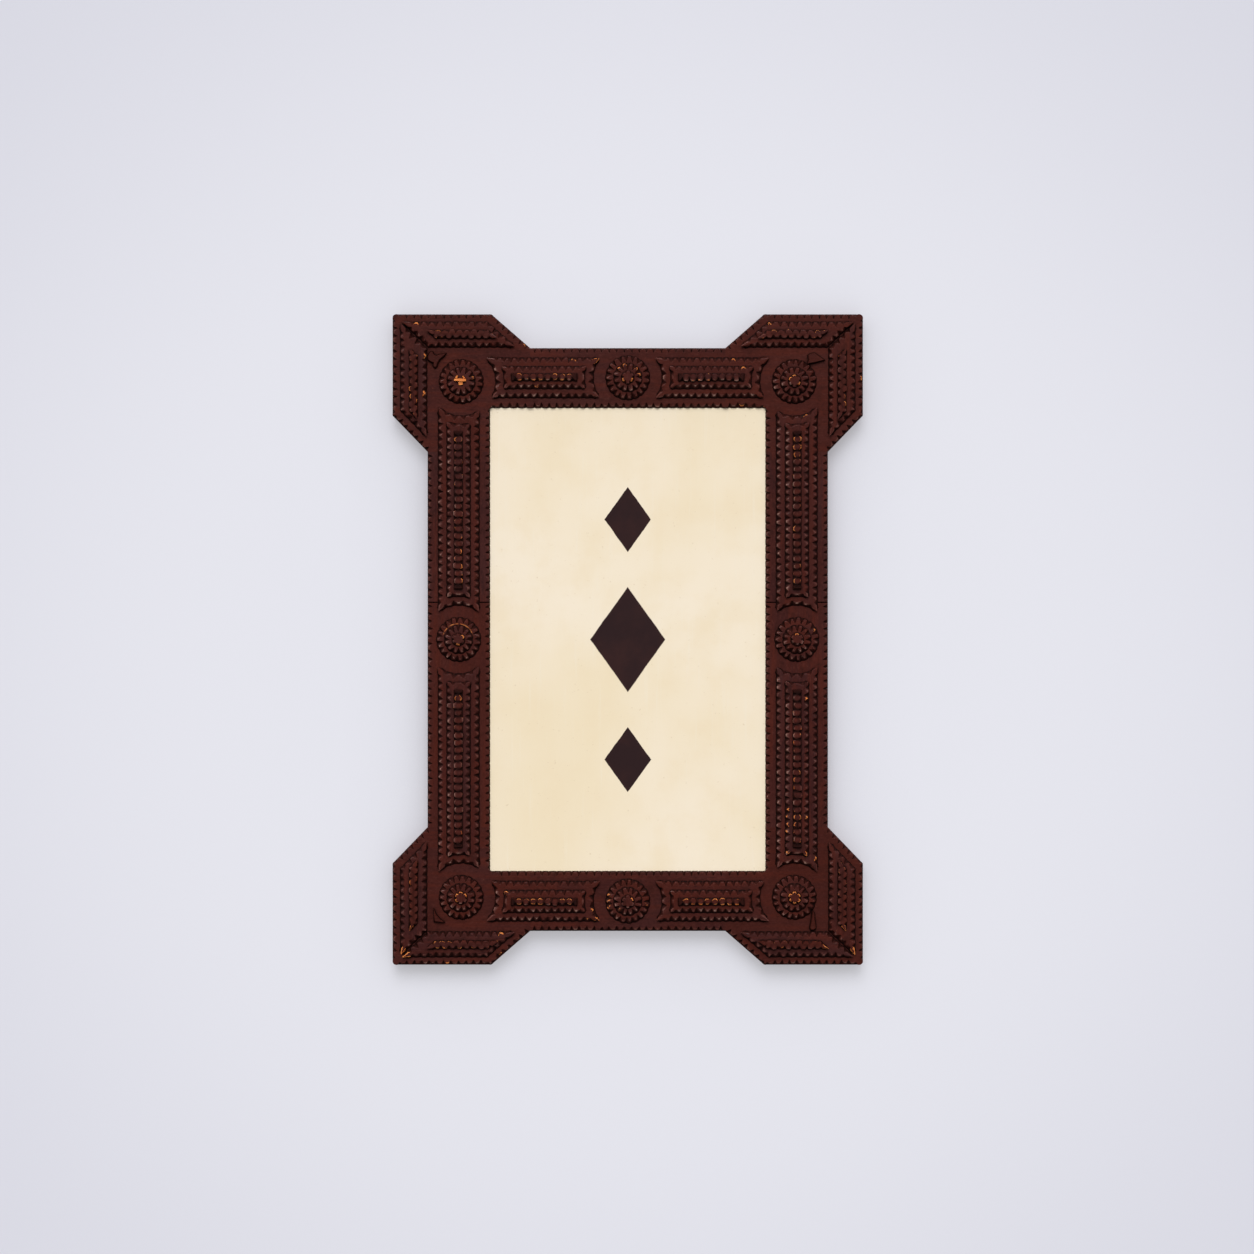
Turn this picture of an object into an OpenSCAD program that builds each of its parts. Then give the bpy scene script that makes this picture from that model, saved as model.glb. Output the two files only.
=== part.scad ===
// Notch-carved wall frame with four stepped ears.
// Thin slats with V-notched edges are layered on a half-lapped pine frame, each layer smaller than the
// one below. X runs across, Z up and the carved front faces -Y. The pieces are drawn with Y = 0 at the
// flat back, which lies against the wall, and then moved so that the origin is the middle of the whole.

/* [Opening] */
// Width of the sight opening
opening_w = 220; // [200:1:240]
// Height of the sight opening
opening_h = 370; // [340:1:400]

/* [Pine backing] */
// Width of each upright, from the opening to the outer edge
stile_w = 50; // [47:1:56]
// Width of the top and bottom rails, from the opening to the outer edge
rail_w = 48; // [45:1:54]
// Thickness of the pine boards
backing_t = 10; // [9:0.5:14]
// How far the carved facing overhangs the pine, which makes the recess for the insert
recess_w = 7; // [5:0.5:9]
// Thickness of the painted insert board
insert_t = 4; // [3:0.5:5]
// Play between the recess and the boards in it
board_play = 1; // [0.5:0.25:2]

/* [Ears] */
// How far the ears stand out sideways
ear_out = 28; // [24:1:34]
// How far the ears stand out above and below
ear_up = 27; // [24:1:34]
// Straight outer edge of the ear's level arm
ear_arm_x = 79; // [70:1:85]
// Straight outer edge of the ear's upright arm
ear_arm_z = 81; // [72:1:88]
// Run of the slanted end of the level arm
ear_run_x = 31; // [26:1:36]
// Run of the slanted end of the upright arm
ear_run_z = 29; // [24:1:34]
// Radius of the ear's outer corner
ear_round = 3; // [1:0.5:6]

/* [Slats] */
// Thickness of every carved slat
slat_t = 3; // [2:0.25:4]
// Width of the ridge strips on the rails
rail_ridge_w = 6.4; // [5.8:0.2:7.6]
// Width of the ridge strips on the stiles
stile_ridge_w = 7.2; // [6.4:0.2:9]
// Step from a ridge strip out to the second layer
ridge_step = 6.2; // [5.2:0.2:7]
// Step from the second layer out to the first
step = 7; // [5.5:0.25:8]
// Height of the open seam in both stile facings above the middle
seam_z = 30; // [25:1:45]
// Width of that open seam
seam_gap = 0.5; // [0.2:0.1:1]

/* [Ear layers] */
// Plain border along the ear's outer edges
ear_border = 6; // [5:0.5:8]
// Distance along the arm from the slanted end of the ear to that of its layer
ear_end = 10; // [7:0.5:14]
// Width of the ridge strip on each arm
ear_ridge_w = 7.4; // [6.6:0.2:9]
// Distance along the arm from the layer's slanted end to the ridge strip
ear_ridge_end = 7; // [5:0.5:10]
// Distance along the arm from the mitre to the ridge strip
ear_ridge_mitre = 13; // [10:0.5:18]
// Gap between the two mitred ends
mitre_gap = 0.8; // [0.4:0.1:1.6]

/* [Notches] */
// Nominal distance from notch to notch
pitch = 6; // [5:0.1:7]
// Angle between the two knife cuts of a notch
notch_angle = 62; // [54:1:70]
// Depth of a notch in a layer
notch_d = 3.4; // [2.4:0.1:3.8]
// Depth of a notch in the facing
facing_notch_d = 2.4; // [1.6:0.1:3]
// Thickness of a slat's back edge, which the notches leave whole
edge_web = 1; // [0.6:0.1:1.6]
// Depth of a notch in a ridge strip
ridge_notch_d = 2.4; // [1.4:0.1:2.6]
// Least flat left between a corner and its first notch
nib_land = 1; // [0.6:0.1:1.6]

/* [Rosettes] */
// Radius of the lowest disc
disc_r1 = 18; // [16:0.5:19.5]
// Radius of the middle disc
disc_r2 = 11.8; // [10:0.2:13]
// Radius of the top disc
disc_r3 = 5.6; // [4.8:0.2:7]
// Plain ring between the lowest disc and the panels
ring_gap = 9; // [7:0.5:11]
// How far the corner rosettes sit in from the crossing of the centre lines, across
corner_in_x = 2; // [0:0.5:3]
// How far they sit in from it, up and down
corner_in_z = 3; // [0:0.5:4]
// Gap between a corner rosette and the hollow side of its leaf
leaf_gap = 5.5; // [4:0.5:6.5]
// Height of a leaf, from its hollow side to its corner
leaf_h = 6.2; // [5:0.2:7]
// Slope of the line from the rosette's centre to the leaf's corner
leaf_angle = 42; // [38:1:50]

/* [Hardware] */
// Wire radius of the hanging ring
wire_r = 1; // [0.8:0.1:1.2]
// Width of the ring, wire centre to wire centre
ring_w = 14; // [13:0.5:18]
// Height of the ring, wire centre to wire centre
ring_h = 18; // [17:0.5:19]
// Bend radius of the ring's lower corners
ring_bend = 2; // [1.5:0.25:2.5]
// Running clearance round the ring's bar and under the turn buttons' holes
turn_play = 0.1; // [0.05:0.05:0.15]
// Distance from the recess up to the ring's bar
bar_up = 19; // [18.5:0.5:20]
// Width of the hanger strap
strap_w = 9; // [8:0.5:9.5]
// Thickness of the hanger strap's metal
strap_t = 1; // [0.8:0.1:1.2]
// Length of the hanger strap below the bar
strap_len = 10; // [9.5:0.25:10.5]
// Distance from the bar to the strap's screw
strap_screw = 5.8; // [5.4:0.2:6.2]
// Shank radius of the screws
screw_r = 1.5; // [1.2:0.1:1.7]
// Length of a screw under its head
screw_len = 9; // [7:0.5:10]
// Radius of the screws' round heads
head_r = 3.1; // [2.8:0.1:3.3]
// Height of the screws' round heads
head_h = 1.7; // [1.4:0.1:1.9]
// Length of a turn button
button_l = 34; // [28:1:36]
// Width of a turn button
button_w = 10; // [9:0.5:12]
// Thickness of a turn button
button_t = 1.5; // [1.2:0.1:1.6]
// Distance from the recess to the turn buttons' pivots
button_in = 9; // [8:0.5:10]
// Height of the turn buttons above and below the middle
button_z = 95; // [70:1:110]
// Shank radius of the lap nails
nail_r = 0.9; // [0.7:0.1:1.1]
// Length of the lap nails
nail_l = 8.5; // [7:0.25:8.7]
// Radius of the lap nails' heads
nail_head_r = 2; // [1.6:0.1:2.4]
// Thickness of the lap nails' heads
nail_head_t = 0.8; // [0.6:0.1:1]
// Clearance round screws and nails in their holes in the wood
pilot_play = 0.05; // [0.02:0.01:0.1]

/* [Hidden] */
$fn = 48;

// Half sizes: opening, recess, outer edge of the main frame and outer edge of the ears
open_x = opening_w / 2;
open_z = opening_h / 2;
recess_x = open_x + recess_w;
recess_z = open_z + recess_w;
edge_x = open_x + stile_w;
edge_z = open_z + rail_w;
ear_x = edge_x + ear_out;
ear_z = edge_z + ear_up;
// Where the ears' straight edges end, and where their slanted ends meet the frame's edge
arm_x = ear_x - ear_arm_x;
arm_z = ear_z - ear_arm_z;
root_x = arm_x - ear_run_x;
root_z = arm_z - ear_run_z;

// Centre lines of the stiles and rails, and rosette centres in the upper right quarter
stile_x = (open_x + edge_x) / 2;
rail_z = (open_z + edge_z) / 2;
corner_rosette = [stile_x - corner_in_x, rail_z - corner_in_z];
side_rosette = [stile_x, 0];
top_rosette = [0, rail_z];

// Front faces of the layers, as depths in front of the back
facing_y = backing_t;
layer_y = facing_y + slat_t;

// Hanger: height and depth of the ring's bar, and the rolled loop round it
bar_z = recess_z + bar_up;
loop_r = wire_r + turn_play + strap_t;
bar_y = loop_r + 0.1;
plate_t = 2 * strap_t;
// Play above and below a turn button, which makes up the strap's thickness
button_y = (plate_t - button_t) * 0.6;
button_x = recess_x + button_in;

CORNERS = ["top_left", "top_right", "bottom_left", "bottom_right"];
CORNER_SIGNS = [[-1, 1], [1, 1], [-1, -1], [1, -1]];
SIDES = ["left_upper", "right_upper", "left_lower", "right_lower"];
RAILS = ["top", "bottom"];
STILES = ["left", "right"];
BUTTONS = ["upper_left", "upper_right", "lower_left", "lower_right"];
SIGNS = [1, -1];

// Edges of an outline, in order with the wood on the left: [start, end, notch depth] is straight, and
// [start, end, notch depth, centre] is the short arc about that centre.
function is_arc(e) = len(e) > 3;
function turn(a, b) = atan2(cross(a, b), a * b);
function sweep(e) = turn(e[0] - e[3], e[1] - e[3]);
function edge_len(e) = is_arc(e) ? norm(e[0] - e[3]) * abs(sweep(e)) * PI / 180 : norm(e[1] - e[0]);
// Direction into the wood, at a distance s along the edge
function inward(e, s) =
    is_arc(e)
    ? let (r = norm(e[0] - e[3]), way = sign(sweep(e)), a = way * s / r * 180 / PI, d = (e[0] - e[3]) / r)
        -way * [d.x * cos(a) - d.y * sin(a), d.x * sin(a) + d.y * cos(a)]
    : let (u = (e[1] - e[0]) / norm(e[1] - e[0])) [-u.y, u.x];
function at(e, s, depth = 0) =
    is_arc(e)
    ? e[3] + (-sign(sweep(e)) * norm(e[0] - e[3]) + depth) * inward(e, s)
    : e[0] + (e[1] - e[0]) * s / edge_len(e) + depth * inward(e, s);
// Inner angle of the wood where edge a meets edge b
function corner_angle(a, b) = 180 - turn(inward(a, edge_len(a)), inward(b, 0));
// Half the width of a notch at the edge
function half_mouth(depth) = depth * tan(notch_angle / 2);
// Wood left whole beside a corner, so that the notches on its two sides stay apart
function lead(angle, depth) =
    max(nib_land, angle < 180 ? depth / tan(angle / 2) + nib_land - half_mouth(depth) : nib_land);
// Middles of the notches along an edge of a given length, between its two leads
function notch_spots(length, depth, lead_a, lead_b) =
    let (
        half = half_mouth(depth),
        room = length - lead_a - lead_b - 2 * half,
        n = room < 0 ? 0 : round(room / pitch) + 1
    )
    [for (i = [0:1:n - 1]) lead_a + half + (n > 1 ? room * i / (n - 1) : room / 2)];
// Points of one edge, from its start up to the start of the next
function edge_points(before, e, after) =
    let (
        length = edge_len(e),
        depth = e[2],
        half = half_mouth(depth),
        lead_a = lead(corner_angle(before, e), depth),
        lead_b = lead(corner_angle(e, after), depth),
        spots = depth > 0 ? notch_spots(length, depth, lead_a, lead_b) : [],
        bends = depth > 0 || !is_arc(e) ? 0 : ceil(abs(sweep(e)) / 15)
    )
    [
        e[0],
        each [for (i = [1:1:bends - 1]) at(e, length * i / bends)],
        each [for (s = spots) each [at(e, s - half), at(e, s, depth), at(e, s + half)]]
    ];
function outline(edges) =
    let (n = len(edges))
    [for (i = [0:n - 1]) each edge_points(edges[(i + n - 1) % n], edges[i], edges[(i + 1) % n])];
function unnotched(edges) = [for (e = edges) is_arc(e) ? [e[0], e[1], 0, e[3]] : [e[0], e[1], 0]];

// The quarters of the frame are one drawing with its signs changed. A stile's parts are drawn along X
// like a rail's and then swapped.
function placed(points, signs, swap = false) =
    [for (p = points) swap ? [signs.x * p.y, signs.y * p.x] : [signs.x * p.x, signs.y * p.y]];

// A slat whose back lies a given depth in front of Y = 0
module slat(points, depth, t = slat_t)
    translate([0, -depth, 0]) rotate([90, 0, 0]) linear_extrude(t) polygon(points);
// A slat notched in front, with a whole edge behind
module notched(edges, signs, depth, swap = false)
{
    slat(placed(outline(unnotched(edges)), signs, swap), depth, edge_web);
    slat(placed(outline(edges), signs, swap), depth + edge_web, slat_t - edge_web);
}

// Facings
module facing(edges, signs) color("#4a241d") notched(edges, signs, facing_y);

module facing_corner(signs)
{
    facing([
        [[root_x, open_z], [open_x, open_z], facing_notch_d],
        [[open_x, open_z], [open_x, root_z], facing_notch_d],
        [[open_x, root_z], [edge_x, root_z], 0],
        [[edge_x, root_z], [ear_x, arm_z], facing_notch_d],
        [[ear_x, arm_z], [ear_x, ear_z - ear_round], facing_notch_d],
        [[ear_x, ear_z - ear_round], [ear_x - ear_round, ear_z], 0, [ear_x - ear_round, ear_z - ear_round]],
        [[ear_x - ear_round, ear_z], [arm_x, ear_z], facing_notch_d],
        [[arm_x, ear_z], [root_x, edge_z], facing_notch_d],
        [[root_x, edge_z], [root_x, open_z], 0]
    ], signs);
}

module facing_rail(sign)
{
    facing([
        [[-root_x, open_z], [root_x, open_z], facing_notch_d],
        [[root_x, open_z], [root_x, edge_z], 0],
        [[root_x, edge_z], [-root_x, edge_z], facing_notch_d],
        [[-root_x, edge_z], [-root_x, open_z], 0]
    ], [1, sign]);
}

// The seam between the upper and lower facing is above the middle on both stiles
module facing_stile(signs)
{
    low = signs.y > 0 ? seam_z : seam_gap - seam_z;
    facing([
        [[edge_x, low], [edge_x, root_z], facing_notch_d],
        [[edge_x, root_z], [open_x, root_z], 0],
        [[open_x, root_z], [open_x, low], facing_notch_d],
        [[open_x, low], [edge_x, low], 0]
    ], signs);
}

// Panels: strips with hollow ends that follow the rosettes at both ends
function chord(r, rise) = sqrt(r * r - rise * rise);
function panel_edges(start, end, middle, width, end_r, depth) =
    let (
        low = middle - width / 2,
        high = middle + width / 2,
        a = [start.x + chord(end_r, low - start.y), low],
        b = [end.x - chord(end_r, low - end.y), low],
        c = [end.x - chord(end_r, high - end.y), high],
        d = [start.x + chord(end_r, high - start.y), high]
    )
    [[a, b, depth], [b, c, depth, end], [c, d, depth], [d, a, depth, start]];

function flipped(p) = [p.y, p.x];
// Distance from the first layer's edge in to the ridge strip's. A layer's own inset is counted from the
// first layer.
panel_inset = step + ridge_step;
function rail_layer(inset, depth) =
    panel_edges(top_rosette, corner_rosette, rail_z, rail_ridge_w + 2 * (panel_inset - inset),
        disc_r1 + ring_gap + inset, depth);
function stile_layer(inset, depth) =
    panel_edges(flipped(side_rosette), flipped(corner_rosette), stile_x,
        stile_ridge_w + 2 * (panel_inset - inset), disc_r1 + ring_gap + inset, depth);

module rail_panel(signs)
    color("#51281f") notched(rail_layer(0, notch_d), signs, layer_y);
module stile_panel(signs)
    color("#51281f") notched(stile_layer(0, notch_d), signs, layer_y, true);
module rail_second_layer(sign)
    color("#5a2d22") for (side = SIGNS)
        notched(rail_layer(step, notch_d), [side, sign], layer_y + slat_t);
module stile_second_layer(sign)
    color("#5a2d22") for (side = SIGNS)
        notched(stile_layer(step, notch_d), [sign, side], layer_y + slat_t, true);
module rail_ridge_strips()
    color("#633325") for (signs = CORNER_SIGNS)
        notched(rail_layer(panel_inset, ridge_notch_d), signs, layer_y + 2 * slat_t);
module stile_ridge_strips()
    color("#633325") for (signs = CORNER_SIGNS)
        notched(stile_layer(panel_inset, ridge_notch_d), signs, layer_y + 2 * slat_t, true);

// Ears: each has a level and an upright arm that meet on a notched mitre. An arm is drawn along X with
// its inner edge on the frame's edge. An arm is [root, frame corner, ear corner, straight end], the
// corners being points and the others distances along the arm.
level_arm = [root_x, [edge_x, edge_z], [ear_x, ear_z], arm_x];
upright_arm = [root_z, [edge_z, edge_x], [ear_z, ear_x], arm_z];
function slant(arm, v) = arm[0] + (arm[3] - arm[0]) * (v - arm[1].y) / (arm[2].y - arm[1].y);
function mitre(arm, v) =
    let (rise = arm[2].y - ear_border - arm[1].y, run = arm[2].x - ear_border - arm[1].x)
    arm[1].x - mitre_gap / 2 + run * (v - arm[1].y) / rise;
function arm_edges(arm, low, high, slant_in, mitre_in, depth) =
    let (
        a = [slant(arm, low) + slant_in, low],
        b = [mitre(arm, low) - mitre_in, low],
        c = [mitre(arm, high) - mitre_in, high],
        d = [slant(arm, high) + slant_in, high]
    )
    [[a, b, depth], [b, c, depth], [c, d, depth], [d, a, depth]];
function chevron(arm) = arm_edges(arm, arm[1].y, arm[2].y - ear_border, ear_end, 0, notch_d);
function ear_ridge(arm) =
    let (middle = (arm[1].y + arm[2].y - ear_border) / 2)
    arm_edges(arm, middle - ear_ridge_w / 2, middle + ear_ridge_w / 2,
        ear_end + ear_ridge_end, ear_ridge_mitre, ridge_notch_d);

module ear_chevron(signs)
    color("#51281f") {
        notched(chevron(level_arm), signs, layer_y);
        notched(chevron(upright_arm), signs, layer_y, true);
    }
module ear_ridge_strips()
    color("#633325") for (signs = CORNER_SIGNS) {
        notched(ear_ridge(level_arm), signs, layer_y + slat_t);
        notched(ear_ridge(upright_arm), signs, layer_y + slat_t, true);
    }

// A leaf fills each corner of the frame, hollow on the side towards its rosette
module corner_leaves()
{
    r = disc_r1 + leaf_gap;
    tip = corner_rosette + (r + leaf_h) * [cos(leaf_angle), sin(leaf_angle)];
    low = [tip.x, corner_rosette.y + chord(r, tip.x - corner_rosette.x)];
    left = [corner_rosette.x + chord(r, tip.y - corner_rosette.y), tip.y];
    points = outline([[low, tip, 0], [tip, left, 0], [left, low, 0, corner_rosette]]);
    color("#51281f") for (signs = CORNER_SIGNS) slat(placed(points, signs), layer_y);
}

// Rosettes: three separate scalloped discs, each glued on the one below
function scalloped(centre, r, depth, steps = [-1, 0, 1]) =
    let (n = round(2 * PI * r / pitch), half = half_mouth(depth) / r * 180 / PI)
    [for (i = [0:n - 1], k = steps)
        let (a = 360 * i / n + k * half) centre + (k == 0 ? r - depth : r) * [cos(a), sin(a)]];

function rosette_centres() = concat(
    [for (signs = CORNER_SIGNS) [signs.x * corner_rosette.x, signs.y * corner_rosette.y]],
    [for (sign = SIGNS) sign * top_rosette],
    [for (sign = SIGNS) -sign * side_rosette]
);

module disc(centre, r, depth, back)
{
    slat(scalloped(centre, r, depth, [-1, 1]), back, edge_web);
    slat(scalloped(centre, r, depth), back + edge_web, slat_t - edge_web);
}
module rosette(centre) color("#51281f") disc(centre, disc_r1, notch_d, layer_y);
module rosette_middle_discs()
    color("#5a2d22") for (c = rosette_centres()) disc(c, disc_r2, notch_d, layer_y + slat_t);
module rosette_top_discs()
    color("#633325") for (c = rosette_centres()) disc(c, disc_r3, ridge_notch_d, layer_y + 2 * slat_t);

// Pine backing: the rails run through behind and the stiles in front, halved together at the corners
module board(low, high, back, t)
    translate([low.x, -back - t, low.y]) cube([high.x - low.x, t, high.y - low.y]);

lap = backing_t / 2;
LAP_NAILS = [[-12, 10], [12, 10], [0, -10]];
function lap_nail_spots() =
    [for (signs = CORNER_SIGNS, n = LAP_NAILS)
        [signs.x * ((recess_x + edge_x) / 2 + n.x), signs.y * ((recess_z + edge_z) / 2 + n.y)]];

module lap_nail(play = 0)
{
    rotate([90, 0, 0]) {
        cylinder(r = nail_r + play, h = nail_l + play);
        cylinder(r = nail_head_r + play, h = nail_head_t + play);
    }
}
module lap_nails_at(play = 0)
    for (p = lap_nail_spots()) translate([p.x, 0, p.y]) lap_nail(play);
module lap_nails() color("#6b6660") lap_nails_at();

module backing_rail(sign)
{
    color("#b58a5c") difference() {
        union() {
            board([-edge_x, min(sign * recess_z, sign * edge_z)],
                [edge_x, max(sign * recess_z, sign * edge_z)], 0, lap);
            board([-recess_x, min(sign * recess_z, sign * edge_z)],
                [recess_x, max(sign * recess_z, sign * edge_z)], lap, backing_t - lap);
        }
        lap_nails_at(pilot_play);
        if (sign > 0) translate([0, 0, bar_z - strap_screw]) screw_hole();
    }
}

module backing_stile(sign)
{
    low = min(sign * recess_x, sign * edge_x);
    high = max(sign * recess_x, sign * edge_x);
    color("#b58a5c") difference() {
        union() {
            board([low, -edge_z], [high, edge_z], lap, backing_t - lap);
            board([low, -recess_z], [high, recess_z], 0, lap);
        }
        lap_nails_at(pilot_play);
        for (side = SIGNS) translate([sign * button_x, 0, side * button_z]) screw_hole();
    }
}

module ear_block(signs)
{
    points = outline([
        [[root_x, edge_z], [edge_x, edge_z], 0],
        [[edge_x, edge_z], [edge_x, root_z], 0],
        [[edge_x, root_z], [ear_x, arm_z], 0],
        [[ear_x, arm_z], [ear_x, ear_z - ear_round], 0],
        [[ear_x, ear_z - ear_round], [ear_x - ear_round, ear_z], 0, [ear_x - ear_round, ear_z - ear_round]],
        [[ear_x - ear_round, ear_z], [arm_x, ear_z], 0],
        [[arm_x, ear_z], [root_x, edge_z], 0]
    ]);
    color("#b58a5c") slat(placed(points, signs), 0, backing_t);
}

// Boards in the recess, the insert against the facing and the backboard flush with the back
module recess_board(back, t)
    board([board_play - recess_x, board_play - recess_z], [recess_x - board_play, recess_z - board_play],
        back, t);
module insert_board() color("#f1e2c8") recess_board(backing_t - insert_t, insert_t);
module backboard() color("#a57c50") recess_board(0, backing_t - insert_t);

// Screws: round slotted heads, which bear on the strap and hold the turn buttons down with a little play
module screw()
{
    dome_r = (head_r * head_r + head_h * head_h) / (2 * head_h);
    difference() {
        rotate([-90, 0, 0]) {
            rotate_extrude() intersection() {
                translate([0, head_h - dome_r]) circle(r = dome_r);
                square([head_r, head_h]);
            }
            translate([0, 0, -screw_len]) cylinder(r = screw_r, h = screw_len);
        }
        translate([0, head_h, 0]) cube([2 * head_r, head_h, 0.8], center = true);
    }
}
module screw_hole()
    rotate([90, 0, 0]) cylinder(r = screw_r + pilot_play, h = screw_len - plate_t + pilot_play);
module back_screws()
{
    color("#8d8a84") {
        translate([0, plate_t, bar_z - strap_screw]) screw();
        for (x = SIGNS, z = SIGNS) translate([x * button_x, plate_t, z * button_z]) screw();
    }
}

// Hanger: a strap folded double round the ring's bar, and screwed to the top rail. The ring hangs down
// round the strap, and is turned up to hang the frame.
module hanger_strap()
{
    color("#b08d4a") difference() {
        translate([-strap_w / 2, 0, bar_z]) rotate([90, 0, 90]) linear_extrude(strap_w) difference() {
            union() {
                translate([bar_y, 0]) circle(r = loop_r);
                translate([0, -strap_len]) square([plate_t, strap_len]);
                translate([plate_t / 2, -loop_r]) square([bar_y - plate_t / 2, loop_r]);
            }
            translate([bar_y, 0]) circle(r = wire_r + turn_play);
        }
        translate([0, plate_t + 1, bar_z - strap_screw]) rotate([90, 0, 0])
            cylinder(r = screw_r + turn_play, h = plate_t + 2);
    }
}

module hanger_ring()
{
    half = ring_w / 2;
    leg = ring_h - half;
    color("#b08d4a") translate([0, bar_y, bar_z]) rotate([-90, 0, 0]) {
        translate([0, leg]) rotate_extrude(angle = 180) translate([half, 0]) circle(r = wire_r);
        for (side = SIGNS) {
            translate([side * half, ring_bend, 0]) rotate([-90, 0, 0])
                cylinder(r = wire_r, h = leg - ring_bend);
            translate([side * (half - ring_bend), ring_bend]) rotate([0, 0, side > 0 ? -90 : 180])
                rotate_extrude(angle = 90) translate([ring_bend, 0]) circle(r = wire_r);
        }
        translate([ring_bend - half, 0, 0]) rotate([0, 90, 0])
            cylinder(r = wire_r, h = ring_w - 2 * ring_bend);
    }
}

// Turn buttons: flat bars with round ends that turn on a screw and lap over the backboard
module turn_button(signs)
{
    reach = (button_l - button_w) / 2;
    color("#b08d4a") translate([signs.x * button_x, button_y, signs.y * button_z]) difference() {
        rotate([-90, 0, 0]) union() {
            for (side = SIGNS) translate([side * reach, 0, 0]) cylinder(r = button_w / 2, h = button_t);
            translate([-reach, -button_w / 2, 0]) cube([2 * reach, button_w, button_t]);
        }
        translate([0, -1, 0]) rotate([-90, 0, 0]) cylinder(r = screw_r + turn_play, h = button_t + 2);
    }
}

// The origin is the middle of the box round everything, from the ridge strips to the hanger's loop
module centred() translate([0, (layer_y + 3 * slat_t - bar_y - loop_r) / 2, 0]) children();

for (i = [0:1]) {
    centred() backing_rail(SIGNS[i]);
    centred() backing_stile(-SIGNS[i]);
    centred() facing_rail(SIGNS[i]);
    centred() rail_second_layer(SIGNS[i]);
    centred() stile_second_layer(-SIGNS[i]);
    centred() rosette(SIGNS[i] * top_rosette);
    centred() rosette(-SIGNS[i] * side_rosette);
}
for (i = [0:3]) {
    signs = CORNER_SIGNS[i];
    centred() ear_block(signs);
    centred() facing_corner(signs);
    centred() facing_stile(signs);
    centred() rail_panel(signs);
    centred() stile_panel(signs);
    centred() ear_chevron(signs);
    centred() rosette([signs.x * corner_rosette.x, signs.y * corner_rosette.y]);
    centred() turn_button(signs);
}
centred() lap_nails();
centred() rail_ridge_strips();
centred() stile_ridge_strips();
centred() ear_ridge_strips();
centred() corner_leaves();
centred() rosette_middle_discs();
centred() rosette_top_discs();
centred() insert_board();
centred() backboard();
centred() hanger_strap();
centred() hanger_ring();
centred() back_screws();
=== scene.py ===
import math
import random

import bmesh
import bpy
from mathutils import Matrix, Vector


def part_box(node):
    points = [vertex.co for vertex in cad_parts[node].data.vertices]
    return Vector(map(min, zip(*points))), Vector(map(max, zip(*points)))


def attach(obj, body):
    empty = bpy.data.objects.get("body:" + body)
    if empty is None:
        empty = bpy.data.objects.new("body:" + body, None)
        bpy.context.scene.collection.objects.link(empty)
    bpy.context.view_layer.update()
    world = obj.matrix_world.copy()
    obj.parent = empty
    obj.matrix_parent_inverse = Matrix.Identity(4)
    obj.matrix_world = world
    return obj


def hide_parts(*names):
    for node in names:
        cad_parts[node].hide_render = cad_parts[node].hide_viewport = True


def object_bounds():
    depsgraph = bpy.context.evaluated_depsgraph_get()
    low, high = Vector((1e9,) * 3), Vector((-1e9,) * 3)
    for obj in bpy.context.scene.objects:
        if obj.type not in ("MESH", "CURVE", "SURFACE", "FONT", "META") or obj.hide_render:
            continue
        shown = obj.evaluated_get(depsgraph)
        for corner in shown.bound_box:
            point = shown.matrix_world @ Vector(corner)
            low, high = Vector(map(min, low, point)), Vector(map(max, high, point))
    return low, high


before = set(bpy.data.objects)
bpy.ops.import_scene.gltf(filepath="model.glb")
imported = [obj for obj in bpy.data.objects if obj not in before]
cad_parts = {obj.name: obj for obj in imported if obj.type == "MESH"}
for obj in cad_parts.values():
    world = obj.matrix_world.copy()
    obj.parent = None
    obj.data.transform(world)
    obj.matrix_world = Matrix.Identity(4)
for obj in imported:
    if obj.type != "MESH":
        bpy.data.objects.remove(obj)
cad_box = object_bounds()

# Camera
# The frame hangs on a pale wall and is seen straight on from a few metres away. The whole view is
# about a metre wide, and the frame's middle lies a little below and to the right of the view's.
view_width = 1.0032
view_centre_x = -0.0006
view_centre_z = 0.010
lens_mm = 100
sensor_mm = 36
camera_data = bpy.data.cameras.new("camera")
camera_data.lens = lens_mm
camera_data.sensor_width = sensor_mm
camera = bpy.data.objects.new("camera", camera_data)
camera.location = (view_centre_x, -view_width * lens_mm / sensor_mm, view_centre_z)
camera.rotation_euler = (math.radians(90), 0, 0)
bpy.context.scene.collection.objects.link(camera)
bpy.context.scene.camera = camera

# Facings
# Ten cigar-box slats, 3 mm thick, cover the pine: an L-shaped plate in each corner that carries the
# ear, one slat along each rail and two along each stile, butted end to end. A knife has cut V notches
# along every edge. Shellac has turned them a dark red-brown, and the tips are rubbed or broken bare.
# The rubbed edges also carry painted highlight, and the cuts painted shade.
millimetre = 0.001
SIDES = ("left_upper", "right_upper", "left_lower", "right_lower")
RAILS = ("top", "bottom")


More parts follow.
